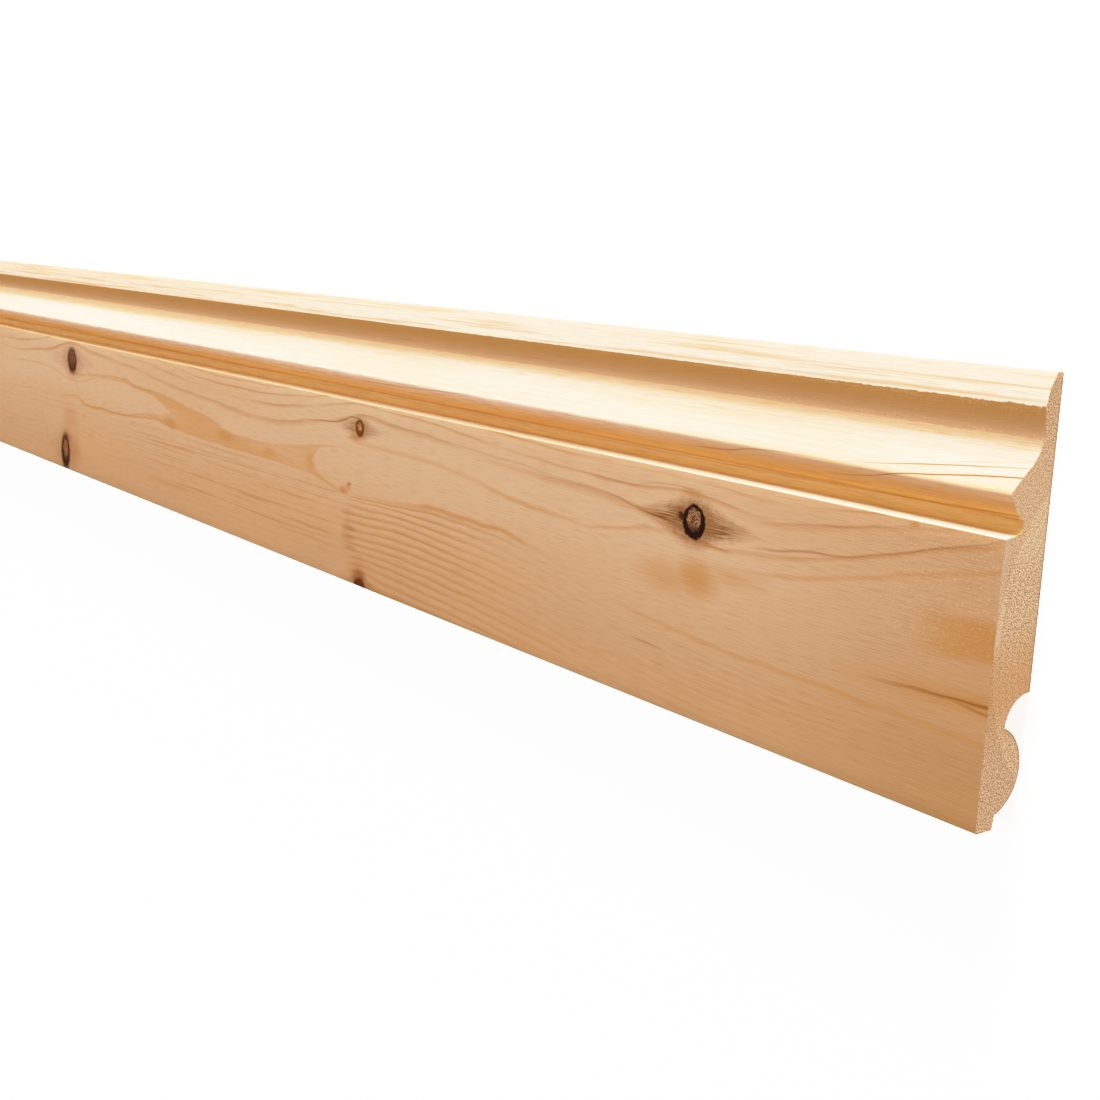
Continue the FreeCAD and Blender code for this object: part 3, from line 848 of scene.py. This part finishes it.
# %% Bruise, tails, bark and core
aside = size_of(knot_along)
closing = fall(aside, 0.4, 7.5, 1.25) + 0.06
strand = knot_across / closing
weave = nodes.new("ShaderNodeCombineXYZ")
for value, socket in zip((along * 0.06, strand * 13.0, depth * 0.1), weave.inputs):
    plug(value, socket)
strands = climb(noise_at(weave.outputs[0], 2.0, 0.6), 0.38, 0.62, 0.32, 1.0)
tails = strands * fall(lumps * 0.5 + size_of(strand), 0.45, 1.3) * fall(aside, 2.0, 6.6) * tail_strength
bruise_place = root(maths("MULTIPLY_ADD", knot_along * 0.45, knot_along, across_squared)) + lumps * 0.5
bruise = fall(bruise_place, 1.1, 2.2) * climb(grit, 0.35, 0.65, 0.55, 0.9) * scaled(tail_strength, 0.8, 0.2)
colour = blend(tails, colour, tone(124, 76, 32))
colour = blend(bruise, colour, tone(146, 102, 62))
pocket_x, pocket_y = scaled(knot_along, 1.7, 1.95), scaled(knot_across, 2.6, -0.5)
pocket_round = root(pocket_x * pocket_x + pocket_y * pocket_y) + grit * 1.4 + lumps * 0.4
pocket = fall(pocket_round, 1.3, 1.7, 0.9) * rise(tail_strength, 0.85, 0.95) * fall(depth, 0.5, 2.0)
colour = blend(pocket, colour, tone(56, 26, 12))
soft = climb(tail_strength, 0.1, 0.6, 0.3, 0.06)
colour = blend(fall(ragged, 1.3 - soft, 1.3 + soft), colour, bark)
lower_part = fall(knot_across, -0.4, 0.05)
speckled = larger(rise(speckle, 0.4, 0.58, 0.85), scaled(grit, 0.5, 0.5) * lower_part)
in_core = fall(hollowed, core_share + 0.32, core_share + 0.5)
colour = blend(in_core, colour, blend(speckled, core, bark))

# %% [markdown]
# ## The sawn ends
# A saw across the grain opens the fibres like cut straws. The end is duller and speckled: pale walls, dark
# pits, and only a hint of the rings. It is darker along the back and round the torus, and a strip along
# the fascia is smoother. It is told apart by its place, right at the two ends of the board.

# %% End grain
from_middle = size_of(along + HALF)
sawn = rise(from_middle, HALF - 0.12, HALF - 0.02)
pits = rise(grit, 0.66, 0.73)
end_colour = blend(rise(speckle, 0.38, 0.6), tone(142, 110, 82), tone(222, 190, 155))
end_colour = blend(between(height, 92.0, 118.0, 12.0) * 0.2, end_colour, tone(226, 194, 160))
end_colour = blend(bell(height, 46.0, 26.0, 0.55), end_colour, tone(180, 134, 82))
smooth_strip = fall(depth, 2.2, 3.4) * between(height, 62.0, 93.0, 5.0)
end_colour = blend(smooth_strip * 0.5, end_colour, tone(204, 172, 146))
end_colour = blend(inner_lines * 0.2, end_colour, tone(150, 104, 66))
end_colour = blend(pits * 0.8, end_colour, tone(104, 74, 50))
torus_x, torus_y = height - TORUS_CENTRE[0], depth - TORUS_CENTRE[1]
from_centre = root(torus_x * torus_x + torus_y * torus_y)
torus_edge = rise(from_centre, TORUS_RADIUS - 0.8, TORUS_RADIUS - 0.3)
torus_edge = torus_edge * rise(depth, 8.5, 10.0) * fall(height, 32.0, 34.0)
# Darker along the back and round the edge of the torus.
dark_end_rim = larger(rise(depth, 19.7, 20.2), torus_edge)
end_colour = blend(dark_end_rim * 0.75, end_colour, tone(104, 82, 62))
colour = blend(sawn, colour, end_colour)

# %% [markdown]
# ## Finish
# Bare planed pine is dull, so it is rough and hardly shines. Its fibres, the torn ones in the undercut and
# the pits of the sawn ends stand a few tenths of a millimetre high at most. A bump shows them, since a mesh
# that fine would need millions of triangles.

# %% Finish of the wood
shader = nodes.new("ShaderNodeBsdfPrincipled")
plug(colour, shader.inputs["Base Color"])
shader.inputs["Roughness"].default_value = 0.7
shader.inputs["Specular IOR Level"].default_value = 0.06
fuzz = fibre * 0.6 + grit * scaled(rough_patch, 0.5, 0.15) + lumps * in_top * 0.7
relief = blend(sawn, fuzz, scaled(pits, -1.0, 0.5) + speckle * 1.6)
bump = nodes.new("ShaderNodeBump")
bump.inputs["Strength"].default_value = 0.55
bump.inputs["Distance"].default_value = 0.0002
plug(relief, bump.inputs["Height"])
links.new(bump.outputs[0], shader.inputs["Normal"])
output = nodes.new("ShaderNodeOutputMaterial")
links.new(shader.outputs[0], output.inputs["Surface"])
mesh.materials.append(wood)
print("nodes in the wood:", len(nodes))

# %% [markdown]
# ## Floor and light
# The board lies on a white sheet that is lit from behind, as small things are photographed for sale, so
# its shadow stays faint. A narrow and a wide light come in low across the board from its thin edge: they
# graze the fascia, shine full on the long slope and the ledge, and leave the belly of the ogee in shade.
# One that is nearly square on to the fascia reaches the hollow under the nose, which the low ones don't,
# and two weak ones come from the foot and from the near end.

# %% Floor
floor_mesh = bpy.data.meshes.new("floor")
floor_shape = bmesh.new()
bmesh.ops.create_grid(floor_shape, x_segments=2, y_segments=2, size=20.0)
floor_shape.to_mesh(floor_mesh)
floor_shape.free()
floor = bpy.data.objects.new("floor", floor_mesh)
scene.collection.objects.link(floor)
white = bpy.data.materials.new("white_sheet")
white.use_nodes = True
sheet = white.node_tree.nodes["Principled BSDF"]
sheet.inputs["Base Color"].default_value = (0.8, 0.8, 0.8, 1)
sheet.inputs["Roughness"].default_value = 0.9
sheet.inputs["Emission Color"].default_value = (1, 1, 1, 1)
sheet.inputs["Emission Strength"].default_value = 0.9
floor_mesh.materials.append(white)


# %% Lights
def sun(name, towards, strength, width):
    """A soft light that comes from one direction, as wide as so many degrees of sky."""
    data = bpy.data.lights.new(name, "SUN")
    data.energy = strength * math.pi
    data.angle = radians(width)
    light = bpy.data.objects.new(name, data)
    light.matrix_world = Vector(towards).to_track_quat("Z", "Y").to_matrix().to_4x4()
    scene.collection.objects.link(light)


def from_above(tilt):
    """A direction across the board: 0 is level from the thin edge, 90 is square on to the fascia."""
    return (0, math.cos(radians(tilt)), math.sin(radians(tilt)))


sun("low key", from_above(4.5), 0.8, 5)
sun("soft key", from_above(18), 0.85, 22)
sun("front", from_above(82), 0.42, 34)
sun("bounce from the foot", from_above(140), 0.25, 30)
sun("fill from the end", (0.9, 0.1, 0.42), 0.07, 40)

# %% [markdown]
# The room round the table is white up to head height and dark above, so it adds a little light from the
# sides and hardly any from overhead.

# %% Room
world = bpy.data.worlds.new("studio")
scene.world = world
world.use_nodes = True
room = world.node_tree
direction = room.nodes.new("ShaderNodeTexCoord")
apart = room.nodes.new("ShaderNodeSeparateXYZ")
walls = room.nodes.new("ShaderNodeMapRange")
walls.inputs["From Min"].default_value = 0.12
walls.inputs["From Max"].default_value = 0.5
walls.inputs["To Min"].default_value = 0.9
walls.inputs["To Max"].default_value = 0.12
room.links.new(direction.outputs["Generated"], apart.inputs[0])
room.links.new(apart.outputs[2], walls.inputs["Value"])
room.links.new(walls.outputs[0], room.nodes["Background"].inputs["Strength"])
room.nodes["Background"].inputs["Color"].default_value = (1, 1, 1, 1)

# %% [markdown]
# A camera rolls its bright tones off instead of cutting them, and deepens its dark ones a little. A curve
# on the picture does the same here. The wood's own colours aren't touched by it.

# %% The camera's tone curve
view = scene.view_settings
view.view_transform = "Standard"
view.use_curve_mapping = True
tones = view.curve_mapping
WHITE = 3.0
ALL_COLOURS = 3  # the fourth curve, after those of red, green and blue
tones.white_level = (WHITE, WHITE, WHITE)
shoulder = tones.curves[ALL_COLOURS]
TONE_CURVE = [
    (0, 0), (0.1, 0.075), (0.2, 0.175), (0.4, 0.385), (0.6, 0.61), (0.8, 0.775), (1.0, 0.88), (1.3, 0.955),
    (1.6, 0.985), (2.0, 1.0), (3.0, 1.0),
]
while len(shoulder.points) < len(TONE_CURVE):
    shoulder.points.new(0.5, 0.5)
for point, (x, y) in zip(shoulder.points, TONE_CURVE):
    point.location = (x / WHITE, y)
    point.handle_type = "AUTO_CLAMPED"
tones.update()
